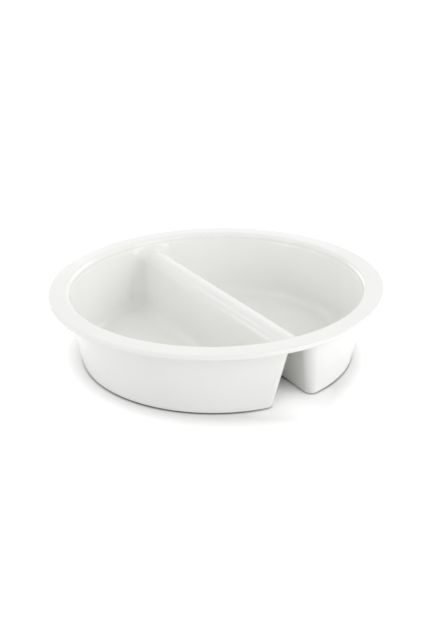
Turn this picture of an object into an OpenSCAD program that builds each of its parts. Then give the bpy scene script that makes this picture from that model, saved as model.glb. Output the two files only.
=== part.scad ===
// Round two-compartment serving bowl: one glazed porcelain casting that hangs in a round
// opening by its flange or stands on two unglazed feet.
// The origin is at the bottom centre, the divider runs along Y and Z is up.

/* [Bowl] */
// Overall diameter over the flange
bowl_d = 390; // [340:1:450]
// Overall height from the feet to the top of the flange
bowl_h = 85.5; // [72:0.5:110]

/* [Flange] */
// How far the flange stands out from the wall beneath it
flange_w = 20.7; // [15:0.1:26]
// Thickness of the flange
flange_t = 5.5; // [4:0.1:7]
// Rounding of the flange's upper outer edge
lip_top_r = 2.4; // [1:0.1:3]
// Rounding of the flange's lower outer edge
lip_low_r = 1.4; // [0.5:0.1:1.8]
// Rounding from the inside wall onto the flange
rim_fillet_r = 5.2; // [4:0.1:6.5]
// Fillet between the outside wall and the underside of the flange
flange_root_r = 1.6; // [0.5:0.1:1.7]

/* [Wells] */
// How far the round wall draws in from the flange down to the base
wall_draw = 14.3; // [8:0.1:22]
// Thickness of the walls, square to their surface
wall_t = 4.6; // [3.5:0.1:6.5]
// Thickness of the floors
floor_t = 6; // [4:0.1:9]
// Outside rounding of the upright corners at the base
corner_base_r = 8.5; // [6.5:0.5:12]
// Outside rounding of the upright corners at the flange
corner_top_r = 12.5; // [10:0.5:16]
// Inside rounding of the upright corners
well_corner_r = 13; // [11:0.5:16]
// Fillet between a floor and its walls
floor_fillet_r = 11; // [6:0.5:13]
// Outside rounding between a wall and the base
heel_r = 2; // [1:0.1:4]

/* [Divider] */
// Depth of the divider's crest below the top of the flange
crest_drop = 10.5; // [9.5:0.5:22]
// How many times longer than high the crest's turn up into the round wall is
saddle_share = 3; // [1:0.1:4]
// Thickness of the crest over the open gap
crest_t = 5.6; // [4:0.1:8]
// Width of the open gap between the two wells at the base
gap_base_w = 44.5; // [38:0.5:52]
// Width of the open gap just under the crest
gap_top_w = 18; // [12:0.5:24]
// Height of the rounded arch that closes the gap
arch_h = 7; // [5:0.5:12]

/* [Feet] */
// Height of the unglazed feet
foot_h = 1; // [0.8:0.1:3]
// Width of the ground band of a foot
foot_w = 4; // [2.5:0.1:6]
// Step from the edge of the base to the foot
foot_inset = 1.2; // [0.5:0.1:3]

/* [Smoothness] */
// Straight steps round a well's long curved wall
arc_steps = 72; // [36:4:96]
// Straight steps round an upright corner
corner_steps = 6; // [4:1:8]
// Straight steps across a floor fillet
fillet_steps = 5; // [3:1:8]
// Straight steps across a heel or an edge of the lip
edge_steps = 4; // [3:1:8]
// Straight steps over half of the crest
crest_steps = 9; // [6:1:12]

/* [Hidden] */
$fn = 180;

glaze = [0.95, 0.955, 0.94];
bisque = [0.86, 0.84, 0.79];

// Levels
flange_z = bowl_h-flange_t;
crest_z = bowl_h-crest_drop;
ceiling_z = crest_z-crest_t;
seat_z = ceiling_z-arch_h;
floor_z = foot_h+floor_t;

// Half widths over the round wall at the underside of the flange and at the base
wall_top_r = bowl_d/2-flange_w;
base_r = wall_top_r-wall_draw;

// Leaning walls: how far each one moves sideways per unit of height
wall_slope = wall_draw/flange_z;
wall_lean = atan(wall_slope);
divider_slope = (gap_base_w-gap_top_w)/2/ceiling_z;
divider_lean = atan(divider_slope);
corner_slope = (corner_top_r-corner_base_r)/flange_z;

// The flange has a short straight neck below its two fillets, and the wells end there
neck_h = 0.5;
fillets_z = min(bowl_h-rim_fillet_r*(1+sin(wall_lean)), flange_z-flange_root_r*(1-sin(wall_lean)));
neck_z = fillets_z-neck_h;

// The crest turns up into the round wall at both ends along part of an ellipse: how far round
// the ellipse it goes, the ellipse's two half sizes, and how far from the middle it starts
saddle_turn = atan(saddle_share/wall_slope);
saddle_h = (neck_z-crest_z)/(1-cos(saddle_turn));
saddle_l = saddle_share*saddle_h;
saddle_start = wall_in(neck_z)-saddle_l*sin(saddle_turn);

// How square the crest's shoulders and the arch's haunches are: 2 is an ellipse
crest_power = 2;
arch_power = 2.4;

side_steps = 1;
well_steps = arc_steps+2*corner_steps+side_steps;
bridge_steps = 2*corner_steps+side_steps;

// Half sizes of the walls at a height
function wall_out(z) = base_r+wall_slope*z;
function wall_in(z) = wall_out(z)-wall_t/cos(wall_lean);
function side_out(z) = gap_base_w/2-divider_slope*z;
function side_in(z) = side_out(z)+wall_t/cos(divider_lean);
function corner_out(z) = corner_base_r+corner_slope*z;

// Point k of a well's outline: a circle of radius r cut by the line x = side, with round corners.
// It starts at the front end of the long curve and runs anticlockwise.
function outline_point(k, r, side, corner) =
    let (cx = side+corner)
    let (cy = sqrt(pow(r-corner, 2)-cx*cx))
    let (turn = atan2(cy, cx))
    let (back = (k-arc_steps)/corner_steps)
    let (front = (well_steps-k)/corner_steps)
    k <= arc_steps ? r*[cos(turn*(2*k/arc_steps-1)), sin(turn*(2*k/arc_steps-1))]
    : back <= 1 ? [cx, cy]+corner*[cos(turn+(180-turn)*back), sin(turn+(180-turn)*back)]
    : front <= 1 ? [cx, -cy]+corner*[cos(turn+(180-turn)*front), -sin(turn+(180-turn)*front)]
    : [side, cy*(1-2*(k-arc_steps-corner_steps)/side_steps)];

// Outline points on the outside and inside faces at a height, drawn in by an inset
function outer_point(k, z, inset = 0) =
    let (p = outline_point(k, wall_out(z)-inset, side_out(z)+inset, corner_out(z)-inset))
    [p.x, p.y, z];
function inner_point(k, z, inset = 0) =
    let (p = outline_point(k, wall_in(z)-inset, side_in(z)+inset, well_corner_r-inset))
    [p.x, p.y, z];

// 0 along the long curve, rising to 1 round each corner and staying 1 along the divider
function corner_share(k) =
    k <= arc_steps ? 0 : min(1, (k-arc_steps)/corner_steps, (well_steps-k)/corner_steps);

// The top edge of a well: level under the flange, dipping round the corners to the bridge's seat
function edge_z(k) = seat_z+(neck_z-seat_z)*pow(1-corner_share(k), 2);

function blend(a, b, t) = a+(b-a)*t;

// Triangles of a closed skin over rings of equal length, with flat caps on the first and last
function ring_faces(rings, steps) = [
    for (i = [0:rings-2], j = [0:steps-1])
        let (a = i*steps+j)
        let (b = i*steps+(j+1)%steps)
        each [[a, b, b+steps], [a, b+steps, a+steps]]
];
function reversed(list) = [for (i = [len(list)-1:-1:0]) list[i]];
module skin(rings) {
    count = len(rings);
    steps = len(rings[0]);
    first_cap = [for (j = [steps-1:-1:0]) j];
    last_cap = [for (j = [0:steps-1]) (count-1)*steps+j];
    faces = concat([first_cap], ring_faces(count, steps), [last_cap]);
    polyhedron([for (ring = rings) each ring], [for (f = faces) reversed(f)]);
}

// Well rings from the base up the outside, over the top edge and down the inside to the floor
heel_top = foot_h+heel_r;
fillet_top = floor_z+floor_fillet_r;
wall_shares = [0.5, 1];
all_points = [0:well_steps-1];
well_rings = concat(
    [for (i = [0:edge_steps])
        let (a = 90*i/edge_steps)
        [for (k = all_points) outer_point(k, foot_h+heel_r*(1-cos(a)), heel_r*(1-sin(a)))]],
    [for (t = wall_shares)
        [for (k = all_points) outer_point(k, blend(heel_top, edge_z(k), t))]],
    [for (t = reversed(wall_shares))
        [for (k = all_points) inner_point(k, blend(fillet_top, edge_z(k), t))]],
    [for (i = [0:fillet_steps])
        let (a = 90*i/fillet_steps)
        [for (k = all_points)
            inner_point(k, floor_z+floor_fillet_r*(1-sin(a)), floor_fillet_r*(1-cos(a)))]]
);
module well() {
    skin(well_rings);
}
module right_well() {
    color(glaze) well();
}
module left_well() {
    color(glaze) mirror([1, 0, 0]) well();
}

// Height of the crest and of its underside at a distance from the middle of the bowl:
// level in the middle, then turning up into the wall
function saddle(d, below) =
    let (reach = max(d-saddle_start, 0)/(saddle_l+below))
    crest_z+saddle_h-(saddle_h+below)*sqrt(max(1-reach*reach, 0));
function crest_top(d) = saddle(d, 0);
function crest_under(d) = saddle(d, crest_t);

// Height at which outline k on a face runs into the crest or its underside, by halving
function face_point(k, z, inside) = inside ? inner_point(k, z) : outer_point(k, z);
function plan_distance(p) = norm([p.x, p.y]);
function meeting_z(k, inside, low, high, rounds = 16) =
    let (z = (low+high)/2)
    let (d = plan_distance(face_point(k, z, inside)))
    let (limit = inside ? crest_top(min(d, wall_in(neck_z))) : crest_under(d))
    rounds == 0 ? z
    : z < limit ? meeting_z(k, inside, z, high, rounds-1) : meeting_z(k, inside, low, z, rounds-1);

// Half of a bridge section, from the middle down to the seat on the right-hand well
function half_section(k, inside) =
    let (share = corner_share(k))
    let (top = share == 0 ? neck_z : meeting_z(k, inside, edge_z(k), neck_z))
    let (brow = face_point(k, top, inside))
    let (foot = face_point(k, edge_z(k), inside))
    let (middle_y = sign(brow.y)*plan_distance(brow))
    let (power = 2/(inside ? crest_power : arch_power))
    [for (i = [0:crest_steps])
        let (a = 90*i/crest_steps)
        let (out = pow(sin(a), power))
        let (down = 1-pow(cos(a), power))
        [brow.x*out+(foot.x-brow.x)*down,
         blend(middle_y, brow.y, out*out)+(foot.y-brow.y)*down,
         blend(top, foot.z, down)]];
function mirrored(points) = [for (p = points) [-p.x, p.y, p.z]];
function bridge_ring(k) =
    let (upper = half_section(k, true))
    let (lower = half_section(k, false))
    concat(
        reversed(upper),
        [for (i = [1:crest_steps]) mirrored(upper)[i]],
        reversed(mirrored(lower)),
        [for (i = [1:crest_steps]) lower[i]]
    );
module divider_bridge() {
    color(glaze)
        skin([for (j = [0:bridge_steps]) bridge_ring((arc_steps+j)%well_steps)]);
}

// Points of an arc in the revolved outline
function arc(centre, r, from, to, steps) = [
    for (i = [0:steps])
        let (a = blend(from, to, i/steps))
        centre+r*[cos(a), sin(a)]
];
module rim_flange() {
    fillet_z = bowl_h-rim_fillet_r;
    fillet_x = wall_in(fillet_z)+rim_fillet_r/cos(wall_lean);
    root_z = flange_z-flange_root_r;
    root_x = wall_out(root_z)+flange_root_r/cos(wall_lean);
    color(glaze)
        rotate_extrude()
        polygon(concat(
            [[wall_in(neck_z), neck_z]],
            arc([fillet_x, fillet_z], rim_fillet_r, 180+wall_lean, 90, 2*edge_steps),
            arc([bowl_d/2-lip_top_r, bowl_h-lip_top_r], lip_top_r, 90, 0, edge_steps),
            arc([bowl_d/2-lip_low_r, flange_z+lip_low_r], lip_low_r, 0, -90, edge_steps),
            arc([root_x, root_z], flange_root_r, 90, 180-wall_lean, edge_steps),
            [[wall_out(neck_z), neck_z]]
        ));
}

// A foot: the flat band that is ground free of glaze under a well
function foot_outline(inset) = [for (k = all_points) let (p = outer_point(k, foot_h, inset)) [p.x, p.y]];
module foot() {
    linear_extrude(foot_h)
        difference() {
            polygon(foot_outline(heel_r+foot_inset));
            polygon(foot_outline(heel_r+foot_inset+foot_w));
        }
}
module right_foot() {
    color(bisque) foot();
}
module left_foot() {
    color(bisque) mirror([1, 0, 0]) foot();
}

rim_flange();
left_well();
right_well();
divider_bridge();
left_foot();
right_foot();
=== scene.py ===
import math

import bmesh
import bpy
from mathutils import Matrix, Vector


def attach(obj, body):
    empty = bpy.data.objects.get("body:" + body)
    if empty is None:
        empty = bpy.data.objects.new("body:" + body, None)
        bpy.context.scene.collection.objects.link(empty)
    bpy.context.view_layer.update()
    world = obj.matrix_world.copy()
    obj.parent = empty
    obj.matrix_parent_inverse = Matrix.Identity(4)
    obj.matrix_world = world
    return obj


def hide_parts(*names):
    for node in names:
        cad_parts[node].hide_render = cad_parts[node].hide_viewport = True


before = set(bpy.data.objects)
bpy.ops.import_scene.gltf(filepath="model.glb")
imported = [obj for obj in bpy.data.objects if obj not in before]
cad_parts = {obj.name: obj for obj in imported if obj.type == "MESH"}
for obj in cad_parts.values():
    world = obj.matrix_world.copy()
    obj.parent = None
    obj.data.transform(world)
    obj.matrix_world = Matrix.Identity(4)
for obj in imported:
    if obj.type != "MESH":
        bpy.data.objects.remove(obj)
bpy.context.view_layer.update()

# The bowl and the camera are in millimetres, as in the CAD model, and turned into metres as they
# are made. The materials and the studio are in metres.
MM = 0.001
QUARTER_TURN = math.pi / 2

# Bowl and flange
BOWL_D = 390.0
BOWL_H = 85.5
FLANGE_W = 20.7
FLANGE_T = 5.5
LIP_TOP_R = 2.4
LIP_LOW_R = 1.4
RIM_FILLET_R = 5.2
FLANGE_ROOT_R = 1.6
NECK_H = 0.5

# Wells
WALL_DRAW = 14.3
WALL_T = 4.6
FLOOR_T = 6.0
CORNER_BASE_R = 8.5
CORNER_TOP_R = 12.5
WELL_CORNER_R = 13.0
FLOOR_FILLET_R = 11.0
HEEL_R = 2.0

# Divider
CREST_DROP = 10.5
CREST_T = 5.6
GAP_BASE_W = 44.5
GAP_TOP_W = 18.0
ARCH_H = 7.0
CREST_POWER = 2.0
ARCH_POWER = 2.4
SADDLE_SHARE = 3.0

# Feet
FOOT_H = 1.0
FOOT_W = 4.0
FOOT_INSET = 1.2
FOOT_EDGE_R = 0.5
FOOT_SUNK = 0.4

# How finely the surfaces are divided
ARC_STEPS = 200
CORNER_STEPS = 18
SIDE_STEPS = 48
WALL_STEPS = 18
FILLET_STEPS = 12
HEEL_STEPS = 6
FLOOR_STEPS = 10
CREST_STEPS = 18
EDGE_STEPS = 8
RIM_FILLET_STEPS = 16
FOOT_EDGE_STEPS = 3

# Points that agree to this many decimals of a millimetre are welded
WELD_DIGITS = 5
# Halvings in the search for the height at which a face meets the crest
SEARCH_STEPS = 30
# Straights of the flange's section longer than LONG_STRAIGHT get points HOLD_GAP from their ends
HOLD_GAP = 0.6
LONG_STRAIGHT = 4 * HOLD_GAP

# Levels and slopes that follow from the sizes
FLANGE_Z = BOWL_H - FLANGE_T
CREST_Z = BOWL_H - CREST_DROP
CEILING_Z = CREST_Z - CREST_T
SEAT_Z = CEILING_Z - ARCH_H
FLOOR_Z = FOOT_H + FLOOR_T
WALL_TOP_R = BOWL_D / 2 - FLANGE_W
BASE_R = WALL_TOP_R - WALL_DRAW
WALL_SLOPE = WALL_DRAW / FLANGE_Z
WALL_LEAN = math.atan(WALL_SLOPE)
DIVIDER_SLOPE = (GAP_BASE_W - GAP_TOP_W) / 2 / CEILING_Z
DIVIDER_LEAN = math.atan(DIVIDER_SLOPE)
CORNER_SLOPE = (CORNER_TOP_R - CORNER_BASE_R) / FLANGE_Z
NECK_Z = min(
    BOWL_H - RIM_FILLET_R * (1 + math.sin(WALL_LEAN)),
    FLANGE_Z - FLANGE_ROOT_R * (1 - math.sin(WALL_LEAN)),
) - NECK_H
SADDLE_TURN = math.atan(SADDLE_SHARE / WALL_SLOPE)
SADDLE_H = (NECK_Z - CREST_Z) / (1 - math.cos(SADDLE_TURN))
SADDLE_L = SADDLE_SHARE * SADDLE_H
WELL_STEPS = ARC_STEPS + 2 * CORNER_STEPS + SIDE_STEPS

# Camera: where it stands and how it is turned, in degrees, fitted to the photograph
PHOTO_LONG_SIDE = 631
SENSOR = 36.0
CAMERA_DISTANCE = 1112.5
CAMERA_ELEVATION = 24.66
CAMERA_AZIMUTH = -30.3
CAMERA_AIM_Z = 30.5
CAMERA_FOCAL_PIXELS = 935.5
CAMERA_ROLL = 1.08
CAMERA_PAN = -0.37
CAMERA_TILT = -0.54

# Noise of the materials: scale in bumps per metre, and detail
CLOUDS = (14.0, 2.0)
SHEEN = (60.0, 3.0)
SWELL = (22.0, 1.0)
PEEL = (420.0, 2.0)
GRAIN = (900.0, 4.0)

# Glaze: two near whites, drawn out between two levels of the clouds
GLAZE_DARK = (0.865, 0.872, 0.848)
GLAZE_LIGHT = (0.885, 0.888, 0.866)
CLOUDS_DARK = 0.3
CLOUDS_LIGHT = 0.7
GLAZE_ROUGH_MIN = 0.10
GLAZE_ROUGH_MAX = 0.16
GLAZE_IOR = 1.5
SWELL_H = 0.0003
PEEL_H = 0.000006

# Bisque: its grain in two colours
BISQUE_DARK = (0.66, 0.64, 0.58)
BISQUE_LIGHT = (0.8, 0.78, 0.73)
GRAIN_DARK = 0.35
GRAIN_LIGHT = 0.7
BISQUE_ROUGH = 0.75
GRAIN_H = 0.00008

# Studio floor
FLOOR_HALF = 8.0
FLOOR_TONE = 0.86
FLOOR_GLOW = 0.58
# The floor's own white fades out towards the bowl: a painted soft shadow round the base.
# Its rings are a little longer along the divider.
GLOW_NONE_R = 0.157
GLOW_FULL_R = 0.201
GLOW_SQUASH_Y = 0.917
# Painted light: glow on the floor at both ends of the gap, for light that falls through it
GAP_PAINTED_LIGHT = 0.34
GAP_GLOW_NONE_R = 0.111
GAP_GLOW_FULL_R = 0.155
GAP_GLOW_FULL_X = 0.007
GAP_GLOW_NONE_X = 0.057
# Painted shadow: the floor's colour darkens where the bowl meets it, by how open the floor is to
# the sky
PAINTED_SHADOW_TONE = 0.36
CONTACT_REACH = 0.0035
CONTACT_FULL = 0.25
CONTACT_NONE = 0.8

# Studio light: how bright the world lights, and the white that the camera sees in its place
WORLD_LIGHT = 0.71
WORLD_WHITE = 1.0
WHITE = (1, 1, 1, 1)
LAMP_DISTANCE = 2.0
LAMP_AIM_Z = 0.06
# Softboxes: name, turn from the camera, elevation, width, height and watts
LAMPS = (
    ("left_back_low", -150, 8, 1.3, 0.8, 6.1),
    ("left_low", -100, 8, 0.8, 0.8, 3.0),
    ("left_front_low", -60, 8, 0.8, 0.8, 3.1),
    ("right_front_low", 60, 8, 0.8, 0.8, 2.5),
    ("right_low", 90, 8, 0.8, 0.8, 1.6),
    ("right_front_mid", 52, 26, 1.5, 1.0, 9.8),
    ("right_back_mid", 145, 26, 1.0, 0.8, 7.4),
    ("back_mid", 180, 25, 0.8, 0.8, 0.3),
    ("left_high", -90, 50, 1.0, 1.0, 2.9),
    ("left_back_strip", -126, 33, 0.35, 0.35, 0.4),
)


# Outlines of the wells

def wall_out(z):
    return BASE_R + WALL_SLOPE * z


def wall_in(z):
    return wall_out(z) - WALL_T / math.cos(WALL_LEAN)


def side_out(z):
    return GAP_BASE_W / 2 - DIVIDER_SLOPE * z


def side_in(z):
    return side_out(z) + WALL_T / math.cos(DIVIDER_LEAN)


def corner_out(z):
    return CORNER_BASE_R + CORNER_SLOPE * z


def outline_point(k, r, side, corner):
    """Point k of a circle of radius r cut by the line x = side, with round corners."""
    cx = side + corner
    cy = math.sqrt((r - corner) ** 2 - cx * cx)
    turn = math.atan2(cy, cx)
    back = (k - ARC_STEPS) / CORNER_STEPS
    front = (WELL_STEPS - k) / CORNER_STEPS
    if k <= ARC_STEPS:
        a = turn * (2 * k / ARC_STEPS - 1)
        return r * math.cos(a), r * math.sin(a)
    if back <= 1:
        a = turn + (math.pi - turn) * back
        return cx + corner * math.cos(a), cy + corner * math.sin(a)
    if front <= 1:
        a = turn + (math.pi - turn) * front
        return cx + corner * math.cos(a), -cy - corner * math.sin(a)
    return side, cy * (1 - 2 * (k - ARC_STEPS - CORNER_STEPS) / SIDE_STEPS)


def outer_point(k, z, inset=0.0):
    x, y = outline_point(k, wall_out(z) - inset, side_out(z) + inset, corner_out(z) - inset)
    return x, y, z


def inner_point(k, z, inset=0.0):
    x, y = outline_point(k, wall_in(z) - inset, side_in(z) + inset, WELL_CORNER_R - inset)
    return x, y, z


def corner_share(k):
    """0 along the long curve, rising to 1 round each corner and 1 along the divider."""
    if k <= ARC_STEPS:
        return 0.0
    return min(1.0, (k - ARC_STEPS) / CORNER_STEPS, (WELL_STEPS - k) / CORNER_STEPS)


def edge_z(k):
    """Where the wall hands over to the flange or to the divider's crest."""
    return SEAT_Z + (NECK_Z - SEAT_Z) * (1 - corner_share(k)) ** 2


def blend(a, b, t):
    return a + (b - a) * t


# Mesh helpers

class Skin:
    """Collects welded points and faces."""

    def __init__(self):
        self.points = []
        self.faces = []
        self.known = {}

    def point(self, p):
        key = tuple(round(v, WELD_DIGITS) for v in p)
        if key not in self.known:
            self.known[key] = len(self.points)
            self.points.append(p)
        return self.known[key]

    def strip(self, low, high, closed):
        """Quads between two rows of equal length."""
        count = len(low)
        for j in range(count if closed else count - 1):
            n = (j + 1) % count
            corners = [low[j], low[n], high[n], high[j]]
            face = [c for i, c in enumerate(corners) if c != corners[i - 1]]
            if len(face) > 2:
                self.faces.append(face)

    def sheet(self, rows, closed=True):
        """Adds a surface through rows of points."""
        rows = [[self.point(p) for p in row] for row in rows]
        for low, high in zip(rows, rows[1:]):
            self.strip(low, high, closed)

    def build(self, name, material):
        mesh = bpy.data.meshes.new(name)
        mesh.from_pydata([tuple(v * MM for v in p) for p in self.points], [], self.faces)
        mesh.validate()
        piece = bpy.data.objects.new(name, mesh)
        bpy.context.scene.collection.objects.link(piece)
        mesh.materials.append(material)
        mesh.polygons.foreach_set("use_smooth", [True] * len(mesh.polygons))
        face_outwards(mesh)
        return piece


def face_outwards(mesh):
    bm = bmesh.new()
    bm.from_mesh(mesh)
    bmesh.ops.recalc_face_normals(bm, faces=bm.faces)
    bm.to_mesh(mesh)
    bm.free()
    mesh.update()


def mirrored(points):
    return [(-x, y, z) for x, y, z in points]


def shrunk(row, share):
    """A row drawn towards its own middle, for the flat floors."""
    cx = sum(p[0] for p in row) / len(row)
    cy = sum(p[1] for p in row) / len(row)
    return [(blend(cx, x, share), blend(cy, y, share), z) for x, y, z in row]


def arc(centre, r, start, end, steps):
    """Points of a section, from one angle to another."""
    return [
        (centre[0] + r * math.cos(blend(start, end, i / steps)),
         centre[1] + r * math.sin(blend(start, end, i / steps)))
        for i in range(steps + 1)
    ]


# The glazed body: wells, divider and flange as one skin

def well_outside():
    stations = range(WELL_STEPS)
    rows = []
    for i in range(HEEL_STEPS + 1):
        a = QUARTER_TURN * i / HEEL_STEPS
        z = FOOT_H + HEEL_R * (1 - math.cos(a))
        rows.append([outer_point(k, z, HEEL_R * (1 - math.sin(a))) for k in stations])
    base = [shrunk(rows[0], i / FLOOR_STEPS) for i in range(FLOOR_STEPS)]
    heel_top = FOOT_H + HEEL_R
    walls = [
        [outer_point(k, blend(heel_top, edge_z(k), (i + 1) / WALL_STEPS)) for k in stations]
        for i in range(WALL_STEPS)
    ]
    return base + rows + walls


def well_inside():
    stations = range(WELL_STEPS)
    fillet_top = FLOOR_Z + FLOOR_FILLET_R
    walls = [
        [inner_point(k, blend(edge_z(k), fillet_top, i / WALL_STEPS)) for k in stations]
        for i in range(WALL_STEPS)
    ]
    rows = []
    for i in range(FILLET_STEPS + 1):
        a = QUARTER_TURN * i / FILLET_STEPS
        z = FLOOR_Z + FLOOR_FILLET_R * (1 - math.sin(a))
        rows.append([inner_point(k, z, FLOOR_FILLET_R * (1 - math.cos(a))) for k in stations])
    floor = [shrunk(rows[-1], 1 - (i + 1) / FLOOR_STEPS) for i in range(FLOOR_STEPS)]
    return walls + rows + floor


def saddle(d, below):
    """Height at distance d from the middle: level, then up along a quarter of an ellipse."""
    start = wall_in(NECK_Z) - SADDLE_L * math.sin(SADDLE_TURN)
    reach = max(d - start, 0.0) / (SADDLE_L + below)
    return CREST_Z + SADDLE_H - (SADDLE_H + below) * math.sqrt(max(1 - reach ** 2, 0.0))


def crest_top(d):
    return saddle(d, 0.0)


def crest_under(d):
    return saddle(d, CREST_T)


def meeting_z(k, inside):
    """Height at which outline k on a face runs into the crest or its underside."""
    face = inner_point if inside else outer_point
    low, high = edge_z(k), NECK_Z
    for _ in range(SEARCH_STEPS):
        z = (low + high) / 2
        x, y = face(k, z)[:2]
        d = math.hypot(x, y)
        limit = crest_top(min(d, wall_in(NECK_Z))) if inside else crest_under(d)
        low, high = (z, high) if z < limit else (low, z)
    return (low + high) / 2


def half_section(k, inside):
    """Half of a divider section, from its middle down to the right-hand well's wall."""
    face = inner_point if inside else outer_point
    top = NECK_Z if corner_share(k) == 0 else meeting_z(k, inside)
    brow, foot = face(k, top), face(k, edge_z(k))
    middle_y = math.copysign(math.hypot(brow[0], brow[1]), brow[1])
    power = 2 / (CREST_POWER if inside else ARCH_POWER)
    points = []
    for i in range(CREST_STEPS + 1):
        a = QUARTER_TURN * i / CREST_STEPS
        out = math.sin(a) ** power
        down = 1 - math.cos(a) ** power if i < CREST_STEPS else 1.0
        points.append((
            brow[0] * out + (foot[0] - brow[0]) * down,
            blend(middle_y, brow[1], out * out) + (foot[1] - brow[1]) * down,
            blend(top, foot[2], down),
        ))
    return points


def full_section(k, inside):
    """From the right-hand wall over the middle to the left-hand wall."""
    half = half_section(k, inside)
    return half[::-1] + mirrored(half[1:])


def divider_stations():
    return [(ARC_STEPS + j) % WELL_STEPS for j in range(2 * CORNER_STEPS + SIDE_STEPS + 1)]


def rim_loop(inside):
    """The closed line at the neck: right-hand arc, back end, left-hand arc, front end."""
    face = inner_point if inside else outer_point
    right = [face(k, NECK_Z) for k in range(ARC_STEPS + 1)]
    back = full_section(ARC_STEPS, inside)
    front = full_section(0, inside)
    left = mirrored(right)[::-1]
    return right[:-1] + back[:-1] + left[:-1] + front[::-1][:-1]


def held(points):
    """Adds points near both ends and in the middle of long straights, for crisp shading."""
    out = [points[0]]
    for (r0, z0), (r1, z1) in zip(points, points[1:]):
        length = math.hypot(r1 - r0, z1 - z0)
        if length > LONG_STRAIGHT:
            for share in (HOLD_GAP / length, 0.5, 1 - HOLD_GAP / length):
                out.append((blend(r0, r1, share), blend(z0, z1, share)))
        out.append((r1, z1))
    return out


def rim_profile():
    """The flange's section, from the neck inside, over the lip, to the neck outside."""
    lip_r = BOWL_D / 2
    fillet_z = BOWL_H - RIM_FILLET_R
    fillet_r = wall_in(fillet_z) + RIM_FILLET_R / math.cos(WALL_LEAN)
    root_z = FLANGE_Z - FLANGE_ROOT_R
    root_r = wall_out(root_z) + FLANGE_ROOT_R / math.cos(WALL_LEAN)
    top, low = (lip_r - LIP_TOP_R, BOWL_H - LIP_TOP_R), (lip_r - LIP_LOW_R, FLANGE_Z + LIP_LOW_R)
    fillet_start, root_end = math.pi + WALL_LEAN, math.pi - WALL_LEAN
    return held(
        arc((fillet_r, fillet_z), RIM_FILLET_R, fillet_start, QUARTER_TURN, RIM_FILLET_STEPS)
        + arc(top, LIP_TOP_R, QUARTER_TURN, 0, EDGE_STEPS)
        + arc(low, LIP_LOW_R, 0, -QUARTER_TURN, EDGE_STEPS)
        + arc((root_r, root_z), FLANGE_ROOT_R, QUARTER_TURN, root_end, EDGE_STEPS)
    )


def rim_rows():
    """Rows from the inner line at the neck, round the flange, to the outer line."""
    inner, outer = rim_loop(True), rim_loop(False)
    inner_a = [math.atan2(y, x) for x, y, _ in inner]
    outer_a = [math.atan2(y, x) for x, y, _ in outer]
    profile = rim_profile()
    rows = [inner]
    for i, (r, z) in enumerate(profile):
        share = (i + 1) / (len(profile) + 1)
        row = []
        for a, b in zip(inner_a, outer_a):
            angle = a + math.remainder(b - a, 2 * math.pi) * share
            row.append((r * math.cos(angle), r * math.sin(angle), z))
        rows.append(row)
    rows.append(outer)
    return rows


def make_body(material):
    skin = Skin()
    for rows in (well_outside(), well_inside()):
        skin.sheet(rows)
        skin.sheet([mirrored(row) for row in rows])
    for inside in (True, False):
        skin.sheet([full_section(k, inside) for k in divider_stations()], closed=False)
    skin.sheet(rim_rows())
    body = skin.build("glazed_body", material)
    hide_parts("rim_flange", "left_well", "right_well", "divider_bridge")
    return body


# Feet

def foot_rows(side):
    """Section rows of the ground band under one well, joined end to end."""
    outer, inner = HEEL_R + FOOT_INSET, HEEL_R + FOOT_INSET + FOOT_W
    top = FOOT_H + FOOT_SUNK
    edge, turn, steps = FOOT_EDGE_R, QUARTER_TURN, FOOT_EDGE_STEPS
    section = (
        [(outer, top)]
        + arc((outer + edge, edge), edge, 2 * turn, 3 * turn, steps)
        + arc((inner - edge, edge), edge, -turn, 0, steps)
        + [(inner, top)]
    )
    rows = []
    for inset, z in section:
        ring = [outer_point(k, FOOT_H, inset) for k in range(WELL_STEPS)]
        rows.append([(side * x, y, z) for x, y, _ in ring])
    return rows + [rows[0]]


def make_foot(name, node, side, material):
    skin = Skin()
    skin.sheet(foot_rows(side))
    foot = skin.build(name, material)
    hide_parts(node)
    return foot


# Shader helpers: each adds nodes and returns the socket to link from

def noise(nodes, links, pattern):
    """Noise over the object's own space."""
    scale, detail = pattern
    coords = nodes.new("ShaderNodeTexCoord")
    texture = nodes.new("ShaderNodeTexNoise")
    texture.inputs["Scale"].default_value = scale
    texture.inputs["Detail"].default_value = detail
    links.new(coords.outputs["Object"], texture.inputs["Vector"])
    return texture.outputs["Fac"]


def ramp(nodes, links, source, low, high, dark, light):
    """Two colours over a range of a value."""
    node = nodes.new("ShaderNodeValToRGB")
    node.color_ramp.elements[0].position = low
    node.color_ramp.elements[1].position = high
    node.color_ramp.elements[0].color = (*dark, 1)
    node.color_ramp.elements[1].color = (*light, 1)
    links.new(source, node.inputs["Fac"])
    return node.outputs["Color"]


def bump(nodes, links, source, height, under=None):
    """A bump of a height in metres over what lies under it."""
    node = nodes.new("ShaderNodeBump")
    node.inputs["Distance"].default_value = height
    links.new(source, node.inputs["Height"])
    if under is not None:
        links.new(under, node.inputs["Normal"])
    return node.outputs["Normal"]


def math_node(nodes, links, operation, first, second):
    node = nodes.new("ShaderNodeMath")
    node.operation = operation
    links.new(first, node.inputs[0])
    links.new(second, node.inputs[1])
    return node.outputs[0]


def map_range(nodes, links, source, from_min, from_max, to_min, to_max):
    node = nodes.new("ShaderNodeMapRange")
    node.inputs["From Min"].default_value = from_min
    node.inputs["From Max"].default_value = from_max
    node.inputs["To Min"].default_value = to_min
    node.inputs["To Max"].default_value = to_max
    links.new(source, node.inputs["Value"])
    return node.outputs["Result"]


def camera_ray(nodes, links):
    """1 for what the camera sees directly or in gloss or glass."""
    path = nodes.new("ShaderNodeLightPath")
    direct, gloss = path.outputs["Is Camera Ray"], path.outputs["Is Glossy Ray"]
    seen = math_node(nodes, links, "MAXIMUM", direct, gloss)
    return math_node(nodes, links, "MAXIMUM", seen, path.outputs["Is Transmission Ray"])


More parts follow.
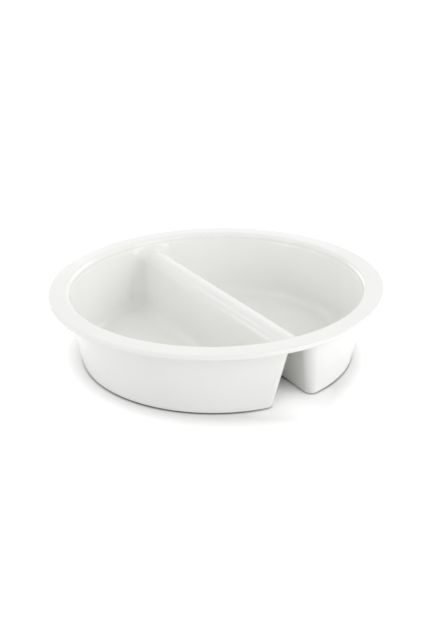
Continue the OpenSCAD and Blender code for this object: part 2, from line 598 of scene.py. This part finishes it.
def by_ray(nodes, links, lighting, seen):
    """One shader for how a surface lights the scene, and one for how the camera sees it."""
    choose = nodes.new("ShaderNodeMixShader")
    links.new(camera_ray(nodes, links), choose.inputs["Fac"])
    links.new(lighting, choose.inputs[1])
    links.new(seen, choose.inputs[2])
    return choose.outputs[0]


# Materials

def new_material(name):
    material = bpy.data.materials.new(name)
    material.use_nodes = True
    nodes, links = material.node_tree.nodes, material.node_tree.links
    nodes.clear()
    output = nodes.new("ShaderNodeOutputMaterial")
    return material, nodes, links, output


def glaze_material():
    material, nodes, links, output = new_material("porcelain_glaze")
    shader = nodes.new("ShaderNodeBsdfPrincipled")
    links.new(shader.outputs["BSDF"], output.inputs["Surface"])
    clouds = noise(nodes, links, CLOUDS)
    tone = ramp(nodes, links, clouds, CLOUDS_DARK, CLOUDS_LIGHT, GLAZE_DARK, GLAZE_LIGHT)
    links.new(tone, shader.inputs["Base Color"])
    sheen = noise(nodes, links, SHEEN)
    gloss = map_range(nodes, links, sheen, 0, 1, GLAZE_ROUGH_MIN, GLAZE_ROUGH_MAX)
    links.new(gloss, shader.inputs["Roughness"])
    shader.inputs["IOR"].default_value = GLAZE_IOR
    swell = bump(nodes, links, noise(nodes, links, SWELL), SWELL_H)
    peel = bump(nodes, links, noise(nodes, links, PEEL), PEEL_H, swell)
    links.new(peel, shader.inputs["Normal"])
    return material


def bisque_material():
    material, nodes, links, output = new_material("ground_bisque")
    shader = nodes.new("ShaderNodeBsdfPrincipled")
    links.new(shader.outputs["BSDF"], output.inputs["Surface"])
    grain = noise(nodes, links, GRAIN)
    tone = ramp(nodes, links, grain, GRAIN_DARK, GRAIN_LIGHT, BISQUE_DARK, BISQUE_LIGHT)
    links.new(tone, shader.inputs["Base Color"])
    shader.inputs["Roughness"].default_value = BISQUE_ROUGH
    links.new(bump(nodes, links, grain, GRAIN_H), shader.inputs["Normal"])
    return material


# Studio

def painted_contact_shadow(nodes, links):
    """The floor's colour, with a painted shadow that darkens it in the narrow gap under the edge
    of the base.
    """
    nearness = nodes.new("ShaderNodeAmbientOcclusion")
    nearness.inputs["Distance"].default_value = CONTACT_REACH
    openness = nearness.outputs["AO"]
    dark, plain = (PAINTED_SHADOW_TONE,) * 3, (FLOOR_TONE,) * 3
    return ramp(nodes, links, openness, CONTACT_FULL, CONTACT_NONE, dark, plain)


def floor_distance(nodes, links, coords, scale):
    """Distance from the middle of the bowl, with the axes scaled first."""
    scaled = nodes.new("ShaderNodeVectorMath")
    scaled.operation = "MULTIPLY"
    links.new(coords.outputs["Object"], scaled.inputs[0])
    scaled.inputs[1].default_value = scale
    length = nodes.new("ShaderNodeVectorMath")
    length.operation = "LENGTH"
    links.new(scaled.outputs["Vector"], length.inputs[0])
    return length.outputs["Value"]


def floor_glow_painted_light_and_shade(nodes, links):
    """Glow that grows from nothing at the base of the bowl, a painted soft shadow, and painted
    light that starts nearer in at the gap's ends.
    """
    coords = nodes.new("ShaderNodeTexCoord")
    around = floor_distance(nodes, links, coords, (1, GLOW_SQUASH_Y, 1))
    out = floor_distance(nodes, links, coords, (1, 1, 1))
    aside = floor_distance(nodes, links, coords, (1, 0, 0))
    # Painted soft shadow: the glow fades out towards the base of the bowl
    main = map_range(nodes, links, around, GLOW_NONE_R, GLOW_FULL_R, 0, FLOOR_GLOW)
    # Painted light on the floor at both ends of the gap
    gap_out = map_range(nodes, links, out, GAP_GLOW_NONE_R, GAP_GLOW_FULL_R, 0, GAP_PAINTED_LIGHT)
    gap_aside = map_range(nodes, links, aside, GAP_GLOW_FULL_X, GAP_GLOW_NONE_X, 1, 0)
    gap = math_node(nodes, links, "MULTIPLY", gap_out, gap_aside)
    glow = nodes.new("ShaderNodeEmission")
    links.new(math_node(nodes, links, "MAXIMUM", main, gap), glow.inputs["Strength"])
    return glow.outputs[0]


def floor_material():
    material, nodes, links, output = new_material("studio_floor")
    plain = nodes.new("ShaderNodeBsdfDiffuse")
    links.new(painted_contact_shadow(nodes, links), plain.inputs["Color"])
    seen = nodes.new("ShaderNodeAddShader")
    links.new(plain.outputs[0], seen.inputs[0])
    links.new(floor_glow_painted_light_and_shade(nodes, links), seen.inputs[1])
    surface = by_ray(nodes, links, plain.outputs[0], seen.outputs[0])
    links.new(surface, output.inputs["Surface"])
    return material


def make_floor():
    mesh = bpy.data.meshes.new("studio_floor")
    h = FLOOR_HALF
    mesh.from_pydata([(-h, -h, 0), (h, -h, 0), (h, h, 0), (-h, h, 0)], [], [(0, 1, 2, 3)])
    mesh.materials.append(floor_material())
    floor = bpy.data.objects.new("studio_floor", mesh)
    bpy.context.scene.collection.objects.link(floor)


def background(nodes, strength):
    node = nodes.new("ShaderNodeBackground")
    node.inputs["Color"].default_value = WHITE
    node.inputs["Strength"].default_value = strength
    return node.outputs[0]


def make_world():
    world = bpy.data.worlds.new("studio")
    bpy.context.scene.world = world
    world.use_nodes = True
    nodes, links = world.node_tree.nodes, world.node_tree.links
    nodes.clear()
    output = nodes.new("ShaderNodeOutputWorld")
    light, white = background(nodes, WORLD_LIGHT), background(nodes, WORLD_WHITE)
    links.new(by_ray(nodes, links, light, white), output.inputs["Surface"])


def area_light(name, azimuth, elevation, width, height, power):
    """A softbox facing the bowl. Azimuth is turned as the camera's is."""
    lamp = bpy.data.lights.new(name, "AREA")
    lamp.shape = "RECTANGLE"
    lamp.size, lamp.size_y = width, height
    lamp.energy = power
    light = bpy.data.objects.new(name, lamp)
    a, e = math.radians(azimuth), math.radians(elevation)
    towards = Vector((math.sin(a) * math.cos(e), -math.cos(a) * math.cos(e), math.sin(e)))
    light.location = towards * LAMP_DISTANCE + Vector((0, 0, LAMP_AIM_Z))
    light.rotation_mode = "QUATERNION"
    light.rotation_quaternion = towards.to_track_quat("Z", "Y")
    bpy.context.scene.collection.objects.link(light)


def make_lights():
    for name, turn, elevation, width, height, power in LAMPS:
        area_light(name, CAMERA_AZIMUTH + turn, elevation, width, height, power)


def make_camera():
    e = math.radians(CAMERA_ELEVATION)
    turn = Matrix.Rotation(math.radians(CAMERA_AZIMUTH), 3, "Z")
    back, up = CAMERA_DISTANCE * math.cos(e), CAMERA_DISTANCE * math.sin(e)
    stand = turn @ Vector((0, -back, CAMERA_AIM_Z + up))
    right, forward = Vector((1, 0, 0)), Vector((0, math.cos(e), -math.sin(e)))
    axes = Matrix((right, right.cross(forward), -forward))
    pan = Matrix.Rotation(math.radians(CAMERA_PAN), 3, "Y")
    tilt = Matrix.Rotation(math.radians(CAMERA_TILT), 3, "X")
    roll = Matrix.Rotation(math.radians(CAMERA_ROLL), 3, "Z")
    facing = turn @ (roll @ tilt @ pan @ axes).transposed()
    data = bpy.data.cameras.new("camera")
    data.sensor_width = SENSOR
    data.lens = CAMERA_FOCAL_PIXELS * SENSOR / PHOTO_LONG_SIDE
    camera = bpy.data.objects.new("camera", data)
    camera.matrix_world = Matrix.Translation(stand * MM) @ facing.to_4x4()
    bpy.context.scene.collection.objects.link(camera)
    bpy.context.scene.camera = camera


def main():
    bpy.context.scene.view_settings.view_transform = "Standard"
    make_camera()
    make_floor()
    make_world()
    make_lights()
    bisque = bisque_material()
    pieces = [
        make_body(glaze_material()),
        make_foot("left_foot_ring", "left_foot", -1, bisque),
        make_foot("right_foot_ring", "right_foot", 1, bisque),
    ]
    for piece in pieces:
        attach(piece, "root")


main()
